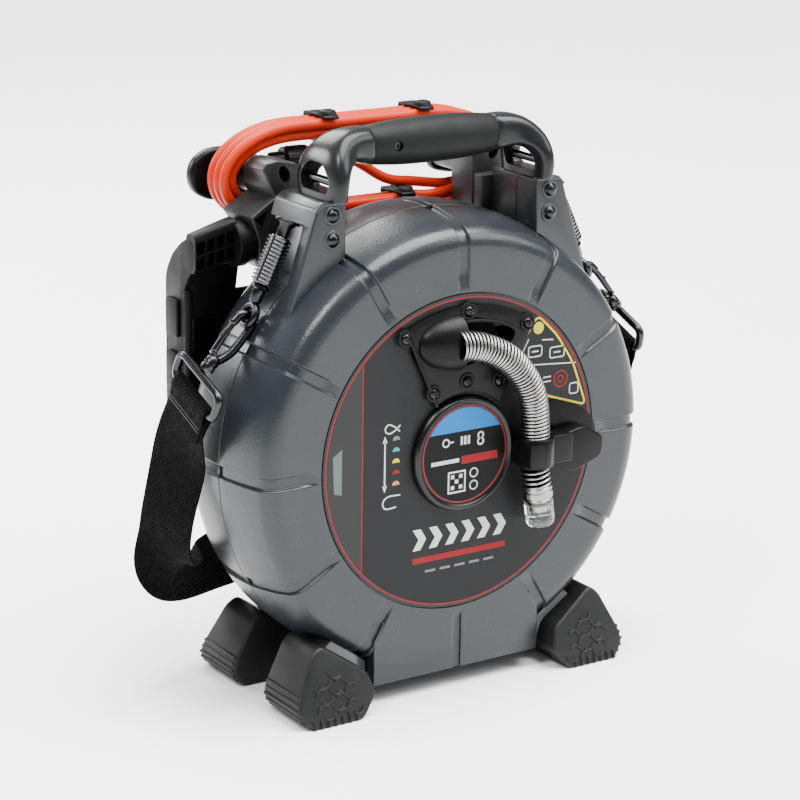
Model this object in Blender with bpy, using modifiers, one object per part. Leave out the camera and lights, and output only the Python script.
"""Drain-inspection camera reel: a round drum case on four rubber feet, with a carrying handle, a
folding monitor dock, a wound system cable and a shoulder strap.

Run with:  blender --background --python part.py
Metres, +Z up.  The front of the case faces -Y.  The origin is on the floor, under the middle of
the reel's depth.  Sizes below are in millimetres in the drum frame, whose origin is the middle of
the front label, with x to the right, y to the back and z up; place() turns them into metres.
"""
import math

import bmesh
import bpy
from mathutils import Matrix, Vector

# ---------------------------------------------------------------- driving dimensions (mm)
LABEL_RADIUS = 118.0
AXIS_HEIGHT = 182.4          # drum axis above the floor
FRONT_REACH = -30.5          # foremost point, the camera clip's collar
REAR_REACH = 171.0           # rearmost point, the flanges of the cord wrap
GAP = 0.3                    # between neighbouring pieces

SEAM_Y = 49.7                # where the two case halves meet
CASE_REAR_Y = 118.0
CASE_RADIUS = 173.5
CASE_STEPS = 48              # facets round the case
WALL = 4.0
BLOCK_HALF_WIDTH = 73.4      # flat base block between the legs
BLOCK_BOTTOM = -167.5
GROOVES = 12
GROOVE_WIDTH = 8.5
GROOVE_DEPTH = 2.4

HUB_RADIUS = 43.4
DRUM_RADIUS = 150.0
SPINDLE_RADIUS = 8.0
BEARING_RADIUS = 16.3
CABLE_EXIT = (-34.0, 82.0)   # x, z of the hole where the push cable leaves the case
CABLE_EXIT_RADIUS = 11.0

SPRING_RADIUS = 11.0
HEAD_AXIS = (0.144, 0.0, -0.9896)

BRACKET_TOP = 188.8
BRACKET_FRONT = 28.0
BRACKET_REAR = 86.0
HANDLE_Y = 49.6
GRIP_Z = 222.4
GRIP_HALF = 54.0
GRIP_CORE_RADIUS = 9.5

POST_TOP = (113.9, 54.3, 174.4)      # right-hand strap anchor, under the bracket's ledge
POST_TILT = math.radians(26.0)
LUG_DISTANCE = 72.3
SLEEVE_RADIUS = 9.0

STRAP_WIDTH = 50.0
STRAP_THICKNESS = 2.2
CABLE_DIAMETER = 8.0

DOCK_AXIS = (112.0, 147.5)           # y, z of the monitor dock's hinge
DOCK_WALL_X = 160.5
WINDING_FRONT = 128.0
WINDING_DEPTH = 27.0
WINDING_THICKNESS = 16.5

GLAND_Y = 131.0
GLAND_TOP = 45.0
WINDING_Z = 187.6                    # middle of the wound cable's oval
WINDING_STRAIGHT = 60.0              # half the length of its straight runs
WINDING_ENDS = (57.0, 31.9)          # half-axes of its rounded ends, to the middle of the layers

SIDES = (("left", -1), ("right", 1))
LABEL_Y = -(FRONT_REACH + REAR_REACH) / 2


def place(x, y, z):
    """Millimetres in the drum frame to metres in the world."""
    return Vector((x, y + LABEL_Y, z + AXIS_HEIGHT)) / 1000


# ---------------------------------------------------------------- scene and helpers
for old in list(bpy.data.objects):
    bpy.data.objects.remove(old, do_unlink=True)

PARTS = bpy.data.collections.new("inspection_camera")
CUTTERS = bpy.data.collections.new("cutters")
for group in (PARTS, CUTTERS):
    bpy.context.scene.collection.children.link(group)


def material(name, colour, roughness, metallic=0.0):
    made = bpy.data.materials.new(name)
    made.use_nodes = True
    shader = made.node_tree.nodes["Principled BSDF"]
    shader.inputs["Base Color"].default_value = (*colour, 1.0)
    shader.inputs["Roughness"].default_value = roughness
    shader.inputs["Metallic"].default_value = metallic
    return made


CASE_GREY = (0.105, 0.125, 0.145)
DARK_GREY = (0.05, 0.052, 0.055)
BLACK = (0.02, 0.02, 0.021)
RUBBER = (0.035, 0.035, 0.036)
STEEL = (0.62, 0.62, 0.60)
ORANGE = (0.80, 0.07, 0.02)


def own(obj, colour, roughness, metallic=0.0):
    """Give an object its own material, and return it."""
    obj.data.materials.clear()
    obj.data.materials.append(material(obj.name, colour, roughness, metallic))
    return obj


def link(name, data, cutter=False):
    obj = bpy.data.objects.new(name, data)
    (CUTTERS if cutter else PARTS).objects.link(obj)
    if cutter:
        obj.hide_render = True
        obj.display_type = "WIRE"
    return obj


def smooth(obj, degrees=35):
    obj.data.shade_smooth()
    obj.data.set_sharp_from_angle(angle=math.radians(degrees))
    return obj


def box(name, low, high, cutter=False):
    """A box between two corners in the drum frame."""
    mesh = bpy.data.meshes.new(name)
    shape = bmesh.new()
    bmesh.ops.create_cube(shape, size=1.0)
    low_m, high_m = place(*low), place(*high)
    for vert in shape.verts:
        vert.co = Vector([low_m[i] + (vert.co[i] + 0.5) * (high_m[i] - low_m[i]) for i in range(3)])
    shape.to_mesh(mesh)
    shape.free()
    return link(name, mesh, cutter)


def to_mesh(obj, cutter=False):
    """Turn a curve object into a welded mesh object of the same name and place."""
    evaluated = obj.evaluated_get(bpy.context.evaluated_depsgraph_get())
    mesh = bpy.data.meshes.new_from_object(evaluated)
    shape = bmesh.new()
    shape.from_mesh(mesh)
    bmesh.ops.remove_doubles(shape, verts=shape.verts, dist=1e-6)
    shape.to_mesh(mesh)
    shape.free()
    name, world = obj.name, obj.matrix_world.copy()
    bpy.data.objects.remove(obj, do_unlink=True)
    made = link(name, mesh, cutter)
    made.matrix_world = world
    return made


# Each plane maps an outline's two coordinates, and the direction it is extruded in, to the axes.
PLANES = {"XZ": Matrix(((1, 0, 0), (0, 0, -1), (0, 1, 0))),
          "YZ": Matrix(((0, 0, 1), (1, 0, 0), (0, 1, 0)))}


def plate(name, outline, low, high, plane="XZ", cutter=False):
    """A flat outline (mm, drum frame) extruded from low to high along the plane's third axis."""
    curve = bpy.data.curves.new(name, "CURVE")
    curve.dimensions = "2D"
    curve.fill_mode = "BOTH"
    curve.extrude = (high - low) / 2000
    spline = curve.splines.new("POLY")
    spline.points.add(len(outline) - 1)
    for point, (u, v) in zip(spline.points, outline):
        point.co = (u / 1000, v / 1000, 0, 1)
    spline.use_cyclic_u = True
    obj = link(name, curve, cutter)
    middle = (low + high) / 2
    centre = place(0, middle, 0) if plane == "XZ" else place(middle, 0, 0)
    obj.matrix_world = Matrix.Translation(centre) @ PLANES[plane].to_4x4()
    bpy.context.view_layer.update()
    return to_mesh(obj, cutter)


def turned(name, profile, steps=48, centre=(0, 0, 0), axis=(0, -1, 0), closed=True, cutter=False):
    """A profile of (radius, height) in mm, turned about an axis through centre.

    The outer side of the profile runs from the greatest height to the least.  An open profile
    starts and ends on the axis."""
    mesh = bpy.data.meshes.new(name)
    count = len(profile)
    edges = [(i, (i + 1) % count) for i in range(count if closed else count - 1)]
    mesh.from_pydata([(r / 1000, 0, h / 1000) for r, h in profile], edges, [])
    obj = link(name, mesh, cutter)
    spin = obj.modifiers.new("turn", "SCREW")
    spin.angle = 2 * math.pi
    spin.steps = spin.render_steps = steps
    spin.use_merge_vertices = True
    spin.merge_threshold = 1e-6
    spin.use_smooth_shade = True
    turn = Vector((0, 0, 1)).rotation_difference(Vector(axis)).to_matrix().to_4x4()
    obj.matrix_world = Matrix.Translation(place(*centre)) @ turn
    return obj


def rod(name, start, end, radius, steps=24, cutter=False):
    """A plain cylinder between two points of the drum frame."""
    direction = Vector(end) - Vector(start)
    profile = [(0, direction.length), (radius, direction.length), (radius, 0), (0, 0)]
    return turned(name, profile, steps, start, direction, closed=False, cutter=cutter)


def tube(name, points, radius, cyclic=False):
    """A round wire along points of the drum frame."""
    curve = bpy.data.curves.new(name, "CURVE")
    curve.dimensions = "3D"
    curve.bevel_depth = radius / 1000
    curve.bevel_resolution = 2
    curve.use_fill_caps = True
    spline = curve.splines.new("POLY")
    spline.points.add(len(points) - 1)
    for point, where in zip(spline.points, points):
        point.co = (*place(*where), 1)
    spline.use_cyclic_u = cyclic
    return link(name, curve)


def smooth_route(points, per_span=4, cyclic=False):
    """Points along a smooth curve (Catmull-Rom) through the route's own points."""
    count = len(points)
    spans = count if cyclic else count - 1
    route = []
    for i in range(spans):
        if cyclic:
            p0, p1, p2, p3 = (Vector(points[(i + k) % count]) for k in (-1, 0, 1, 2))
        else:
            p0, p1, p2, p3 = (Vector(points[min(max(i + k, 0), count - 1)]) for k in (-1, 0, 1, 2))
        for step in range(per_span):
            t = step / per_span
            route.append(0.5 * ((2 * p1) + (p2 - p0) * t + (2 * p0 - 5 * p1 + 4 * p2 - p3) * t ** 2
                                + (3 * p1 - p0 - 3 * p2 + p3) * t ** 3))
    if not cyclic:
        route.append(Vector(points[-1]))
    return route


def boolean(target, tool, operation="DIFFERENCE"):
    """Add an EXACT Boolean with a tool, which becomes a cutter."""
    step = target.modifiers.new(tool.name, "BOOLEAN")
    step.operation = operation
    step.solver = "EXACT"
    step.object = tool
    weld = target.modifiers.new("weld", "WELD")
    weld.merge_threshold = 5e-6
    if CUTTERS not in tool.users_collection:
        PARTS.objects.unlink(tool)
        CUTTERS.objects.link(tool)
        tool.hide_render = True
        tool.display_type = "WIRE"
    return target


def group(name, pieces):
    """Join separate cutters into one, with their modifiers applied."""
    graph = bpy.context.evaluated_depsgraph_get()
    shape = bmesh.new()
    for piece in pieces:
        mesh = bpy.data.meshes.new_from_object(piece.evaluated_get(graph))
        mesh.transform(piece.matrix_world)
        shape.from_mesh(mesh)
    for piece in pieces:
        bpy.data.objects.remove(piece, do_unlink=True)
    mesh = bpy.data.meshes.new(name)
    shape.to_mesh(mesh)
    shape.free()
    return link(name, mesh, cutter=True)


def loft(name, rings):
    """A closed solid through rings of world points, with both ends capped."""
    shape = bmesh.new()
    loops = [[shape.verts.new(point) for point in ring] for ring in rings]
    count = len(loops[0])
    for first, second in zip(loops, loops[1:]):
        for i in range(count):
            shape.faces.new((first[i], first[(i + 1) % count], second[(i + 1) % count], second[i]))
    shape.faces.new(list(reversed(loops[0])))
    shape.faces.new(loops[-1])
    bmesh.ops.recalc_face_normals(shape, faces=shape.faces)
    mesh = bpy.data.meshes.new(name)
    shape.to_mesh(mesh)
    shape.free()
    return link(name, mesh)


def mirrored(outline, side):
    """An outline for the right-hand side, or its mirror image for the left, kept anticlockwise."""
    return [(side * x, z) for x, z in outline][::side]


# ---------------------------------------------------------------- case
FRONT_OUTER = [(150.0, 0.0), (158.0, 1.5), (163.2, 5.2), (166.0, 11.5), (170.6, 30.0),
               (CASE_RADIUS, SEAM_Y)]
REAR_OUTER = [(CASE_RADIUS, SEAM_Y + GAP), (173.0, 84.0), (168.5, 98.5), (158.0, 111.3), (146.0, 116.2),
              (130.0, CASE_REAR_Y)]
CAVITY = [(150.0, 5.4), (158.5, 8.2), (162.0, 13.0), (168.4, 42.0), (169.2, 52.0), (168.8, 82.0),
          (164.6, 96.2), (155.0, 107.8), (144.0, 112.4), (130.0, 114.0)]


def disc_profile(points):
    """Close a list of (radius, y) onto the axis, as (radius, height) with the front on top."""
    first, last = points[0], points[-1]
    return [(0, -first[1])] + [(r, -y) for r, y in points] + [(0, -last[1])]


def drum_offset(name, clearance=GAP):
    """The whole drum case grown by a clearance, to cut what rests on it."""
    outline = [(r + clearance, y) for r, y in FRONT_OUTER + REAR_OUTER]
    outline[0] = (outline[0][0], -clearance)
    outline[-1] = (outline[-1][0], CASE_REAR_Y + clearance)
    return turned(name, disc_profile(outline), CASE_STEPS, closed=False, cutter=True)


# The floor of a groove as (radius, y), and the two corners that close its cutter outside the case.
FRONT_GROOVE = [(126.0, -0.1), (129.0, 2.2), (148.0, 2.3), (155.0, 3.4), (159.2, 5.4), (161.9, 8.6),
                (163.6, 12.5), (168.6, 32.5), (CASE_RADIUS - GROOVE_DEPTH, SEAM_Y + 0.5),
                (186.0, SEAM_Y + 0.5), (186.0, -8.0), (126.0, -8.0)]
REAR_GROOVE = [(CASE_RADIUS - GROOVE_DEPTH, SEAM_Y - 0.5), (171.4, 68.0), (170.6, 83.0),
               (168.2, 94.0), (164.9, 104.3), (186.0, 104.3), (186.0, SEAM_Y - 0.5)]


def groove_cutter(name, outline):
    """Twelve bars round the drum axis, each with the section that one groove removes."""
    bars = []
    middle = Matrix.Translation(place(0, 0, 0))
    for i in range(GROOVES):
        section = [(y, radius) for radius, y in outline]
        bar = plate(f"{name}_{i}", section, -GROOVE_WIDTH / 2, GROOVE_WIDTH / 2, "YZ", cutter=True)
        turn = Matrix.Rotation(2 * math.pi * i / GROOVES, 4, "Y")
        bar.matrix_world = middle @ turn @ middle.inverted() @ bar.matrix_world
        bars.append(bar)
    bpy.context.view_layer.update()
    return group(name, bars)


def build_case():
    """Two moulded halves with radial grooves and a flat base block, and the screws that join them."""
    cavity_limit = box("cavity_floor", (-200, -10, -220), (200, 140, BLOCK_BOTTOM + WALL), cutter=True)
    ground_cut = box("flat_base", (-200, -10, -240), (200, 140, BLOCK_BOTTOM), cutter=True)
    recess = rod("label_recess", (0, -5, 0), (0, 1.4, 0), LABEL_RADIUS + 0.7, CASE_STEPS, cutter=True)
    exit_hole = rod("cable_exit_hole", (CABLE_EXIT[0], -8, CABLE_EXIT[1]),
                    (CABLE_EXIT[0], 20, CABLE_EXIT[1]), CABLE_EXIT_RADIUS, 20, cutter=True)
    cavity = turned("case_cavity", disc_profile(CAVITY), CASE_STEPS, closed=False, cutter=True)
    boolean(cavity, cavity_limit)
    halves = (("front_case", FRONT_OUTER, 6.0, SEAM_Y - 0.02),
              ("rear_case", REAR_OUTER, SEAM_Y + GAP + 0.02, CASE_REAR_Y - 5))
    grooves = {"front_case": groove_cutter("front_grooves", FRONT_GROOVE),
               "rear_case": groove_cutter("rear_grooves", REAR_GROOVE)}
    for name, outline, block_front, block_rear in halves:
        half = turned(name, disc_profile(outline), CASE_STEPS, closed=False)
        block = box(name + "_block", (-BLOCK_HALF_WIDTH, block_front, -200),
                    (BLOCK_HALF_WIDTH, block_rear, -120), cutter=True)
        boolean(half, grooves[name])
        boolean(half, block, "UNION")
        boolean(half, ground_cut)
        boolean(half, cavity)
        own(half, CASE_GREY, 0.42)
    front, rear = bpy.data.objects["front_case"], bpy.data.objects["rear_case"]
    boolean(front, recess)
    boolean(front, exit_hole)
    boolean(rear, rod("rear_hub_hole", (0, 100, 0), (0, 130, 0), 30.0, 32, cutter=True))
    for x, z in arc(138.0, 15, 345, 11)[::2]:
        boolean(rear, rod("case_screw", (x, 112.0, z), (x, CASE_REAR_Y + 1.2, z), 4.0, 12, cutter=True), "UNION")


def build_front_details():
    """Label, hub cap, the hood that the push cable leaves through, and the camera clip."""
    label = turned("label_panel", disc_profile([(LABEL_RADIUS, 0.0), (LABEL_RADIUS, 1.1)]), CASE_STEPS, closed=False)
    boolean(label, rod("label_exit_hole", (CABLE_EXIT[0], -5, CABLE_EXIT[1]),
                       (CABLE_EXIT[0], 5, CABLE_EXIT[1]), CABLE_EXIT_RADIUS, 20, cutter=True))
    own(label, (0.06, 0.062, 0.064), 0.5)

    hub = [(0, 4.6), (35.8, 4.6), (38.0, 6.5), (41.5, 5.6), (HUB_RADIUS, 2.4), (HUB_RADIUS, GAP), (0, GAP)]
    own(turned("hub_cap", hub, 40, closed=False), BLACK, 0.25)

    guide = plate("cable_guide", GUIDE_OUTLINE, -3.3, -GAP)
    hood = turned("hood_shell", ball_profile(1.0), 24, (HOOD_MOUTH_X, 0, HOOD_Z), closed=False, cutter=True)
    hood.scale = HOOD_SIZE
    hood_limit = box("hood_limit", (-60, -40, 40), (HOOD_MOUTH_X, -1.5, 130), cutter=True)
    boolean(hood, hood_limit, "INTERSECT")
    boolean(guide, hood, "UNION")
    hollow = turned("hood_hollow", ball_profile(1.0), 24, (HOOD_MOUTH_X + 1, 0, HOOD_Z), closed=False,
                    cutter=True)
    hollow.scale = [size - 2.4 for size in HOOD_SIZE]
    boolean(guide, hollow)
    boolean(guide, box("guide_recess", (HOOD_MOUTH_X - 2, -10, 74), (44, 5, 90), cutter=True))
    own(guide, BLACK, 0.4)
    for x, z in GUIDE_SCREWS:
        boolean(guide, rod("guide_screw", (x, -6.0, z), (x, -2.0, z), 4.2, 12, cutter=True), "UNION")

    clip = plate("camera_clip", CLIP_OUTLINE, -3.3, -GAP)
    block = plate("clip_block", [(66, 2), (66, -16), (92, -25.6), (117, -17), (118.5, -2), (100, 9)],
                  -16.0, -2.0, cutter=True)
    collar = rod("clip_collar", (54.8, -16, -14), (54.8, -16, 8), 14.4, 28, cutter=True)
    bridge = box("clip_bridge", (54.8, -24, -14), (84, -6, 8), cutter=True)
    for tool in (block, collar, bridge):
        boolean(clip, tool, "UNION")
    boolean(clip, rod("clip_bore", (54.8, -16, -30), (54.8, -16, 30), SPRING_RADIUS + 0.5, 28, cutter=True))
    own(clip, BLACK, 0.35)


def ball_profile(radius_mm, points=8):
    """Half a circle from the top to the bottom of a ball, as an open profile."""
    angles = [math.pi / 2 - math.pi * i / (points - 1) for i in range(points)]
    profile = [(radius_mm * math.cos(a), radius_mm * math.sin(a)) for a in angles]
    profile[0], profile[-1] = (0, radius_mm), (0, -radius_mm)
    return profile


def arc(radius, start_degrees, end_degrees, steps):
    """Points of an arc about the drum axis."""
    angles = [math.radians(start_degrees + (end_degrees - start_degrees) * i / steps)
              for i in range(steps + 1)]
    return [(radius * math.cos(a), radius * math.sin(a)) for a in angles]


HOOD_MOUTH_X = -1.0
HOOD_Z = 83.5
HOOD_SIZE = (42.0, 22.0, 28.5)       # half-lengths across, up and forward of the hood's half ball
GUIDE_OUTLINE = arc(110.0, 57, 118, 10) + arc(46.0, 124, 47, 8) + [(47.0, 61.0)]
GUIDE_SCREWS = [(-50.0, 90.5), (2.0, 104.0), (54.0, 88.5), (-27.4, 49.5), (1.5, 54.0), (30.0, 52.5)]
CLIP_OUTLINE = [(66.0, -12.0), (72.0, -22.0), (92.0, -27.0), (117.0, -19.0), (121.0, -4.0),
                (118.0, 9.0), (104.0, 21.0), (84.0, 28.0), (70.0, 27.0), (66.0, 14.0)]


def build_inside():
    """The rotating drum with its stored push cable, the fixed spindle, bearings and slip ring."""
    drum = [(118.0, -12.0), (DRUM_RADIUS, -12.0), (DRUM_RADIUS, -98.0), (BEARING_RADIUS + GAP, -98.0),
            (BEARING_RADIUS + GAP, -30.0), (20.5, -30.0), (20.5, -95.4), (147.4, -95.4),
            (147.4, -14.6), (118.0, -14.6)]
    own(turned("inner_drum", drum, 40), DARK_GREY, 0.5)
    coil = [(112.0, -20.0), (146.0, -20.0), (146.0, -92.0), (112.0, -92.0)]
    own(turned("push_cable_coil", coil, 40), (0.55, 0.42, 0.05), 0.45)

    spindle = [(0, -22.0), (SPINDLE_RADIUS, -22.0), (SPINDLE_RADIUS, -110.5), (29.7, -110.5),
               (29.7, -117.9), (0, -117.9)]
    own(turned("drum_spindle", spindle, 24, closed=False), STEEL, 0.3, 1.0)
    for name, front in (("front_bearing", 34.0), ("rear_bearing", 84.0)):
        ring = [(SPINDLE_RADIUS + GAP, -front), (BEARING_RADIUS, -front), (BEARING_RADIUS, -front - 8),
                (SPINDLE_RADIUS + GAP, -front - 8)]
        own(turned(name, ring, 24), STEEL, 0.25, 1.0)
    slip = [(SPINDLE_RADIUS + GAP, -99.0), (26.0, -99.0), (26.0, -110.0), (SPINDLE_RADIUS + GAP, -110.0)]
    own(turned("slip_ring", slip, 24), (0.5, 0.28, 0.05), 0.4, 0.8)
    lead = smooth_route([(-66, 44, 72), (-57, 31, 77), (-45, 15, 80.5), (-34, 3, 82.5), (-24, -7.5, 83.8),
                         (-8.9, -13.6, 84.0)], 3)
    own(tube("push_cable_lead", lead, 3.4), (0.55, 0.42, 0.05), 0.45)

    cover = [(0, -118.3), (52.0, -118.3), (52.0, -121.0), (49.0, -124.5), (20.0, -125.2), (0, -125.2)]
    own(turned("rear_hub_cover", cover, 32, closed=False), DARK_GREY, 0.45)
    own(rod("cable_gland", (0, GLAND_Y, 18.0), (0, GLAND_Y, GLAND_TOP), 5.5, 16), BLACK, 0.5)


SPRING_ROUTE = [(-7.2, -13.7, 84.0), (7.0, -14.4, 81.3), (22.4, -15.9, 74.2), (33.6, -16.5, 65.3),
                (43.0, -17.0, 53.7), (49.0, -17.0, 42.5), (52.0, -16.6, 33.0), (53.8, -16.2, 21.0),
                (54.8, -16.0, 9.0), (54.8, -16.0, -2.0), (55.0, -16.0, -14.0), (57.6, -16.0, -30.7)]


def build_camera():
    """The flexible spring, and the camera head with its lens and light ring."""
    own(tube("camera_spring", smooth_route(SPRING_ROUTE, 2), SPRING_RADIUS), STEEL, 0.3, 1.0)
    start = Vector(SPRING_ROUTE[-1]) + Vector(HEAD_AXIS) * GAP
    head = [(0, 0), (11.3, 0), (11.3, -8.5), (6.0, -8.5), (6.0, -19.0), (0, -19.0)]
    lens = [(0, -29.2), (7.4, -29.2), (9.0, -27.6), (9.4, -25.0), (9.4, -8.8), (11.0, -8.8), (11.0, -25.0),
            (10.2, -29.0), (8.0, -31.0), (0, -31.0)]
    ring = [(6.3, -12.0), (9.1, -12.0), (9.1, -14.0), (6.3, -14.0)]
    back = tuple(-x for x in HEAD_AXIS)
    own(turned("camera_head", head, 24, start, back, closed=False), STEEL, 0.25, 1.0)
    own(turned("camera_lens", lens, 24, start, back, closed=False), (0.85, 0.88, 0.9), 0.05)
    own(turned("led_ring", ring, 24, start, back), (0.9, 0.9, 0.85), 0.3)


# Half of the handle, from the foot on the bracket to the middle of the grip: the x and z of a
# section, the direction of its thickness (degrees from +x), half its thickness and half its depth.
HANDLE_SECTIONS = [(88.5, 189.3, 0, 8.0, 27.5), (88.5, 193.0, 0, 7.8, 28.5), (88.3, 201.0, 4, 8.0, 29.5),
                   (86.5, 210.0, 14, 9.0, 28.0), (82.0, 217.5, 34, 10.4, 24.0), (74.0, 222.4, 58, 11.8, 18.5),
                   (65.0, 223.4, 76, 12.8, 15.5), (GRIP_HALF + 1.0, 222.6, 88, 13.6, 14.2)]
SECTION_POINTS = 16


def handle_section(x, z, degrees, half_thickness, half_depth, squareness=0.7):
    """A rounded section of the handle, as world points."""
    across = Vector((math.cos(math.radians(degrees)), 0, math.sin(math.radians(degrees))))
    points = []
    for i in range(SECTION_POINTS):
        angle = 2 * math.pi * i / SECTION_POINTS
        u = math.copysign(abs(math.cos(angle)) ** squareness, math.cos(angle)) * half_thickness
        v = math.copysign(abs(math.sin(angle)) ** squareness, math.sin(angle)) * half_depth
        points.append(place(x + across.x * u, HANDLE_Y + v, z + across.z * u))
    return points


def build_handle():
    """The moulded arch with open ends, its cross pins, the rubber grip and the grip's screw."""
    core = (GRIP_HALF + 0.4, GRIP_Z, 90, GRIP_CORE_RADIUS, GRIP_CORE_RADIUS, 1.0)
    right = [handle_section(*section) for section in HANDLE_SECTIONS] + [handle_section(*core)]
    left = []
    for ring in reversed(right):
        left.append([Vector((-p.x, p.y, p.z)) for p in ring])
    handle = loft("handle", right + left)
    window = [(HANDLE_Y - 16, 195.0), (HANDLE_Y + 16, 195.0), (HANDLE_Y + 19, 203.0),
              (HANDLE_Y + 9, 213.5), (HANDLE_Y - 9, 213.5), (HANDLE_Y - 19, 203.0)]
    for name, side in SIDES:
        ends = sorted((side * 70, side * 110))
        boolean(handle, plate("handle_window_" + name, window, ends[0], ends[1], "YZ", cutter=True))
        x = side * 88.3
        pin = rod("handle_pin_" + name, (x, HANDLE_Y - 16.7, 201), (x, HANDLE_Y + 16.7, 201), 3.0, 12)
        own(pin, STEEL, 0.3, 1.0)
    own(handle, DARK_GREY, 0.38)

    bore = GRIP_CORE_RADIUS + GAP
    grip = [(13.8, 54.0), (16.2, 32.0), (16.9, 10.0), (16.9, -10.0), (16.2, -32.0), (13.8, -54.0),
            (bore, -54.0), (bore, 54.0)]
    grip = turned("handle_grip", grip, 28, (0, HANDLE_Y, GRIP_Z), (1, 0, 0))
    screw_x = -35.0
    boolean(grip, rod("grip_screw_hole", (screw_x, HANDLE_Y - 25, GRIP_Z), (screw_x, HANDLE_Y, GRIP_Z),
                      3.6, 12, cutter=True))
    own(grip, RUBBER, 0.6)
    own(rod("grip_screw", (screw_x, HANDLE_Y - 14.0, GRIP_Z), (screw_x, HANDLE_Y - 10.2, GRIP_Z), 3.2, 12),
        STEEL, 0.35, 1.0)


BRACKET_OUTLINE = [(82.3, 130.0), (112.0, 95.0), (131.0, 107.4), (106.2, 184.5), (100.0, BRACKET_TOP),
                   (82.3, BRACKET_TOP)]
BOLTS = (("upper", 93.6, 179.7), ("lower", 93.6, 162.3))


def build_brackets():
    """The two shoulder brackets that join the handle to the case, and their domed bolts."""
    for name, side in SIDES:
        bracket = plate("bracket_" + name, mirrored(BRACKET_OUTLINE, side), BRACKET_FRONT, BRACKET_REAR)
        along = Vector((math.sin(POST_TILT), -math.cos(POST_TILT)))
        across = Vector((math.cos(POST_TILT), math.sin(POST_TILT)))
        top = Vector((POST_TOP[0], POST_TOP[2]))
        corner = top - across * 21.0
        pocket = [corner, corner + along * 90.0, corner + along * 90.0 + across * 80.0,
                  corner + across * 80.0]
        pocket = [(p.x, p.y) for p in pocket]
        boolean(bracket, plate("post_pocket_" + name, mirrored(pocket, side), 40.0, 95.0, cutter=True))
        boolean(bracket, drum_offset("bracket_seat_" + name))
        own(bracket, CASE_GREY, 0.42)
        for level, x, z in BOLTS:
            dome = [(0, 4.2), (3.6, 3.2), (5.0, 0), (0, 0)]
            centre = (side * x, BRACKET_FRONT - GAP, z)
            bolt = turned(f"bracket_bolt_{level}_{name}", dome, 12, centre, closed=False)
            own(bolt, STEEL, 0.3, 1.0)


def sided(side, point):
    """Mirror a right-hand point to the given side."""
    return (side * point[0], point[1], point[2])


def build_anchor(name, side):
    """A strap anchor under the bracket's ledge: post with lug, and the sleeve that spins on it."""
    away = Vector((-side * math.sin(POST_TILT), 0, math.cos(POST_TILT)))     # up the post
    flat = Vector((side * math.cos(POST_TILT), 0, math.sin(POST_TILT)))
    top = Vector(sided(side, POST_TOP))
    post = [(0, -GAP), (9.0, -GAP), (9.0, -2.3), (4.5, -2.3), (4.5, -13.0), (3.8, -13.0), (3.8, -49.0),
            (4.5, -49.0), (4.5, -65.0), (0, -65.0)]
    post = turned("anchor_post_" + name, post, 16, top, away, closed=False)
    lug_centre = top - away * LUG_DISTANCE
    lug = rod("lug_" + name, lug_centre - flat * 2, lug_centre + flat * 2, 8.2, 20, cutter=True)
    boolean(post, lug, "UNION")
    boolean(post, rod("lug_hole_" + name, lug_centre - flat * 9, lug_centre + flat * 9, 5.2, 16, cutter=True))
    own(post, BLACK, 0.2, 0.4)
    sleeve = [(4.15, -13.3), (SLEEVE_RADIUS, -13.3), (SLEEVE_RADIUS, -48.7), (4.15, -48.7)]
    own(turned("knurled_sleeve_" + name, sleeve, 24, top, away), DARK_GREY, 0.4)


def hook_point(side, u, v):
    """A point of the snap hook: u from the lug towards the strap ring, v outwards from its spine."""
    x, y, z = POST_TOP
    lug = (x + LUG_DISTANCE * math.sin(POST_TILT), y, z - LUG_DISTANCE * math.cos(POST_TILT))
    return sided(side, (lug[0] + 0.7071 * (u + v), lug[1], lug[2] + 0.7071 * (v - u)))


RING_DIRECTION = Vector((0.0, 0.932, 0.362))
RING_DOWN = Vector((0.15, 0.358, -0.921))
RING_HALF_LENGTH = 29.0
RING_DROP = 18.0
RING_RADIUS = 2.8
RING_U = 54.6                        # the ring's upper bar, along the hook
GATE_HINGE = (37.0, 4.2)


def build_hook(name, side):
    """A snap hook through the lug, its sprung gate, and the rectangular ring that carries the strap."""
    path = [(11.0, 6.6)]
    for i in range(8):
        angle = math.radians(90 + 180 * i / 7)
        path.append((7.3 + 6.9 * math.cos(angle), -0.5 + 6.9 * math.sin(angle)))
    path += [(13.0, -7.6), (20.0, -7.9), (28.0, -7.6), (35.0, -5.2), (41.0, -2.0), (45.0, 0.0)]
    claw = tube("snap_hook_" + name, [hook_point(side, u, v) for u, v in path], 2.0)
    bpy.context.view_layer.update()
    hook = to_mesh(claw)
    barrel = rod("hook_barrel_" + name, hook_point(side, 38.6, 0), hook_point(side, 49.6, 0), 5.4, 16,
                 cutter=True)
    own(boolean(hook, barrel, "UNION"), STEEL, 0.35, 1.0)
    gate = tube("hook_gate_" + name, [hook_point(side, 11.6, 6.6), hook_point(side, *GATE_HINGE)], 1.7)
    own(gate, STEEL, 0.35, 1.0)

    down = Vector(sided(side, RING_DOWN))
    upper = Vector(hook_point(side, RING_U, 0))
    corners = []
    for end, drop in ((1, 0), (1, 1), (-1, 1), (-1, 0)):
        corner = upper + RING_DIRECTION * (end * RING_HALF_LENGTH) + down * (drop * RING_DROP)
        inward_bar = -RING_DIRECTION * (end * 5.0)
        inward_side = down * (5.0 * (1 - 2 * drop))
        turn_in, turn_out = (inward_bar, inward_side) if drop == (end < 0) else (inward_side, inward_bar)
        corners += [corner + turn_in, corner + (turn_in + turn_out) * 0.29, corner + turn_out]
    own(tube("strap_ring_" + name, corners, RING_RADIUS, cyclic=True), STEEL, 0.35, 1.0)


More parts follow.
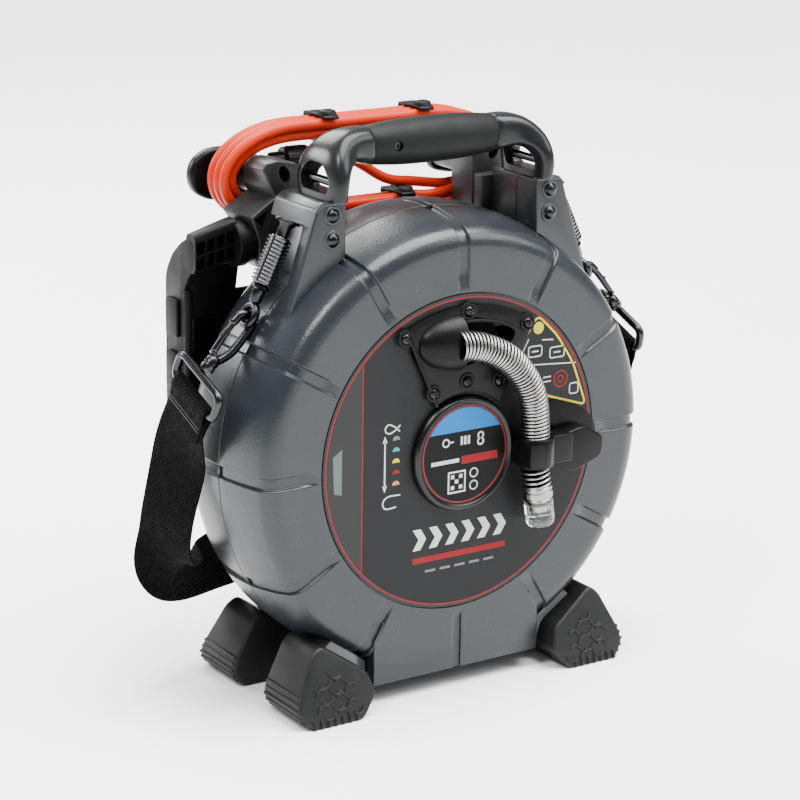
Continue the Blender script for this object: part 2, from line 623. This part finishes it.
# The right half of the strap: its middle line and the direction of its width.
STRAP_ROUTE = [((184.8, 88.5, -3.0), (0.33, 0.94, 0.05)), ((191.5, 94.4, -46.0), (0.31, 0.95, 0.0)),
               ((189.5, 101.0, -72.0), (0.27, 0.93, -0.25)), ((177.0, 115.0, -93.0), (0.2, 0.62, -0.75)),
               ((155.0, 131.0, -103.0), (0.05, 0.25, -0.97)), ((118.0, 145.0, -103.0), (0.0, 0.05, -1.0)),
               ((60.0, 152.0, -98.0), (0.0, 0.0, -1.0)), ((0.0, 154.0, -96.0), (0.0, 0.0, -1.0))]


def build_strap():
    """The webbing strap, hung from both rings and passing behind the case."""
    start = Vector(hook_point(1, RING_U, 0)) + RING_DOWN * (RING_DROP + RING_RADIUS + GAP)
    route = [(start, RING_DIRECTION), (start + RING_DOWN * 14, RING_DIRECTION)]
    route += [(Vector(point), Vector(width)) for point, width in STRAP_ROUTE]
    middle = smooth_route([point for point, _ in route], 2)
    widths = smooth_route([width for _, width in route], 2)
    rings = []
    for i, (point, width) in enumerate(zip(middle, widths)):
        tangent = middle[min(i + 1, len(middle) - 1)] - middle[max(i - 1, 0)]
        if i == 0:
            tangent = RING_DOWN
        if i == len(middle) - 1:
            tangent = Vector((-1, 0, 0))
        width = (width - tangent * width.dot(tangent) / tangent.length_squared).normalized()
        across = width * (STRAP_WIDTH / 2)
        thick = tangent.cross(width).normalized() * (STRAP_THICKNESS / 2)
        rings.append([point + across + thick, point - across + thick, point - across - thick,
                      point + across - thick])
    left = [[Vector((-p.x, p.y, p.z)) for p in ring] for ring in reversed(rings[:-1])]
    world = [[place(*p) for p in ring] for ring in rings + left]
    own(loft("shoulder_strap", world), BLACK, 0.9)


LEG_OUTLINE = [(73.8, -150.0), (104.0, -128.0), (124.0, -148.0), (112.0, -164.0), (90.0, -170.0),
               (73.8, -165.0)]
FOOT_OUTLINE = [(79.0, -166.0), (84.0, -150.0), (120.0, -125.5), (128.0, -131.0), (143.0, -162.0),
                (144.5, -171.0), (136.0, -AXIS_HEIGHT), (92.0, -AXIS_HEIGHT)]
LEG_FRONT, LEG_REAR = (10.0, 30.0), (88.0, 108.0)
FOOT_FRONT = (-18.4, 38.0)
MIDDLE_Y = 59.0                      # the feet mirror front to back about this depth


def grown(outline, amount):
    """An outline moved outwards from its middle by about an amount."""
    middle = sum((Vector(p) for p in outline), Vector((0, 0))) / len(outline)
    moved = []
    for p in outline:
        out = Vector(p) - middle
        moved.append(tuple(Vector(p) + out.normalized() * amount))
    return moved


def build_legs():
    """Moulded legs on the base block's sides, with a web between them, and the rubber feet."""
    for name, side in SIDES:
        leg = plate("leg_" + name, mirrored(LEG_OUTLINE, side), *LEG_FRONT)
        boolean(leg, plate("rear_leg_" + name, mirrored(LEG_OUTLINE, side), *LEG_REAR, cutter=True), "UNION")
        web_x = sorted((side * 73.8, side * 78.0))
        web = plate("leg_web_" + name, [(26, -162), (92, -162), (92, -148), (26, -148)], web_x[0], web_x[1],
                    "YZ", cutter=True)
        boolean(leg, web, "UNION")
        boolean(leg, drum_offset("leg_seat_" + name))
        own(leg, CASE_GREY, 0.3)
        for end, leg_span in (("front", LEG_FRONT), ("rear", LEG_REAR)):
            span = FOOT_FRONT if end == "front" else tuple(2 * MIDDLE_Y - y for y in FOOT_FRONT[::-1])
            foot = plate(f"foot_{end}_{name}", mirrored(FOOT_OUTLINE, side), *span)
            pocket = plate(f"foot_pocket_{end}_{name}", mirrored(grown(LEG_OUTLINE, 0.6), side),
                           leg_span[0] - 0.4, leg_span[1] + 0.4, cutter=True)
            boolean(foot, pocket)
            boolean(foot, drum_offset(f"foot_seat_{end}_{name}", 1.0))
            outer = -1 if end == "front" else 1
            face = span[0] if end == "front" else span[1]
            slope = [(face, -AXIS_HEIGHT - 0.1), (face - outer * 20, -112.0), (face + outer * 10, -112.0),
                     (face + outer * 10, -AXIS_HEIGHT - 0.1)]
            reach = sorted((side * 60, side * 160))
            boolean(foot, plate(f"foot_slope_{end}_{name}", slope, reach[0], reach[1], "YZ", cutter=True))
            own(foot, RUBBER, 0.75)


WRAP_OUTLINE = [(73.0, 140.0), (94.0, 126.0), (104.0, 126.0), (111.0, 133.0), (111.2, 165.0),
                (106.0, 170.5), (105.0, 190.0), (99.0, 202.0), (91.0, 206.0), (80.0, 203.0), (73.0, 196.0)]
WRAP_NECK = [(79.0, 177.0), (97.0, 177.0), (101.0, 190.0), (97.0, 201.0), (79.0, 201.0)]
HORN_OUTLINE = [(78.0, 173.0), (98.0, 168.5), (116.0, 168.0), (129.0, 175.0), (133.5, 187.0),
                (130.0, 199.0), (118.0, 207.0), (100.0, 207.5), (78.0, 202.5)]
WRAP_REAR = 126.0
NECK_REAR = 160.0


def build_cord_wrap():
    """The two bodies that the system cable is wound round, with flanges that keep it on."""
    y, z = DOCK_AXIS
    for name, side in SIDES:
        body = plate("cord_wrap_" + name, mirrored(WRAP_OUTLINE, side), BRACKET_REAR + GAP, WRAP_REAR)
        neck = plate("wrap_neck_" + name, mirrored(WRAP_NECK, side), WRAP_REAR - 4, NECK_REAR, cutter=True)
        boolean(body, neck, "UNION")
        boolean(body, rod("dock_pin_" + name, sided(side, (105.0, y, z)), sided(side, (122.0, y, z)), 5.0, 16,
                          cutter=True), "UNION")
        boolean(body, drum_offset("wrap_seat_" + name))
        own(body, DARK_GREY, 0.45)
        horn = plate("wrap_flange_" + name, mirrored(HORN_OUTLINE, side), NECK_REAR + GAP, REAR_REACH)
        own(horn, BLACK, 0.35)


DOCK_WALL = [(98.0, 147.0), (101.0, 138.5), (112.0, 133.5), (124.0, 118.0), (124.0, -12.0), (151.0, -12.0),
             (151.0, 128.0), (140.0, 146.0), (124.0, 158.0), (112.0, 161.5), (101.0, 157.0)]
DOCK_REAR = 151.0


def build_dock():
    """The monitor dock: two hinged elbows, side walls, back plate and the lip at the bottom."""
    y, z = DOCK_AXIS
    dock = box("monitor_dock", (-DOCK_WALL_X, DOCK_REAR - 4, -12), (DOCK_WALL_X, DOCK_REAR, 104))
    boolean(dock, box("dock_lip", (-DOCK_WALL_X, 127, -12), (DOCK_WALL_X, DOCK_REAR - 1, -7), cutter=True),
            "UNION")
    boolean(dock, box("dock_notch", (-85, 140, 52), (85, 160, 120), cutter=True))
    for name, side in SIDES:
        wall_x = sorted((side * 154.0, side * DOCK_WALL_X))
        boolean(dock, plate("dock_wall_" + name, DOCK_WALL, wall_x[0], wall_x[1], "YZ", cutter=True),
                "UNION")
        boolean(dock, rod("dock_elbow_" + name, sided(side, (111.6, y, z)), sided(side, (156.0, y, z)),
                          13.9, 20, cutter=True), "UNION")
        boolean(dock, rod("dock_bore_" + name, sided(side, (108.0, y, z)), sided(side, (122.5, y, z)),
                          5.5, 16, cutter=True))
    own(dock, BLACK, 0.5)


def oval(extra, ends=9):
    """The oval of the wound cable, grown by an amount, as x and z."""
    half_x, half_z = WINDING_ENDS[0] + extra, WINDING_ENDS[1] + extra
    outline = []
    for side in (1, -1):
        for i in range(ends):
            angle = math.radians(-90 + 180 * i / (ends - 1)) + (0 if side > 0 else math.pi)
            outline.append((side * WINDING_STRAIGHT + half_x * math.cos(angle),
                            WINDING_Z + half_z * math.sin(angle)))
    return outline


LEAD_ROUTE = [(0, GLAND_Y, GLAND_TOP + GAP), (0, GLAND_Y, 58), (5, 131.5, 80), (14, 133, 105),
              (18, 137, 128), (18, 141, 146.2)]
TAIL_ROUTE = [(22, 141.5, 167.6), (15, 141.5, 175), (4, 141.5, 186), (-12, 141.5, 194.6),
              (-29.1, 141.5, 197.3)]
# Each clip's x, and +1 on the upper run or -1 on the lower one.
CLIPS = (("left", -34.0, 1), ("right", 50.0, 1), ("lower", 35.0, -1))


def build_system_cable():
    """The wound system cable with its leads, clips and plug."""
    half = WINDING_THICKNESS / 2
    rear = WINDING_FRONT + WINDING_DEPTH
    winding = plate("system_cable_winding", oval(half), WINDING_FRONT, rear)
    boolean(winding, plate("winding_inside", oval(-half), WINDING_FRONT - 5, rear + 5, cutter=True))
    own(winding, ORANGE, 0.4)
    own(tube("system_cable_lead", smooth_route(LEAD_ROUTE, 3), CABLE_DIAMETER / 2), ORANGE, 0.4)
    own(tube("system_cable_tail", smooth_route(TAIL_ROUTE, 3), CABLE_DIAMETER / 2), ORANGE, 0.4)
    plug = [(0, 47.0), (7.0, 47.0), (7.0, 38.0), (10.0, 36.0), (10.0, 8.0), (6.0, 0), (0, 0)]
    own(turned("system_plug", plug, 20, (-30.0, 141.5, 197.3), (-1, 0, 0), closed=False), BLACK, 0.5)
    for name, x, run in CLIPS:
        z = WINDING_Z + run * WINDING_ENDS[1]
        clip = box("cable_clip_" + name, (x - 6, WINDING_FRONT - 2.3, z - half - 2.3),
                   (x + 6, rear + 2.3, z + half + 2.3))
        hole = box("clip_hole_" + name, (x - 8, WINDING_FRONT - GAP, z - half - GAP),
                   (x + 8, rear + GAP, z + half + GAP), cutter=True)
        own(boolean(clip, hole), BLACK, 0.4)


build_case()
build_front_details()
build_inside()
build_camera()
build_handle()
build_brackets()
for side_name, side_sign in SIDES:
    build_anchor(side_name, side_sign)
    build_hook(side_name, side_sign)
build_strap()
build_legs()
build_cord_wrap()
build_dock()
build_system_cable()
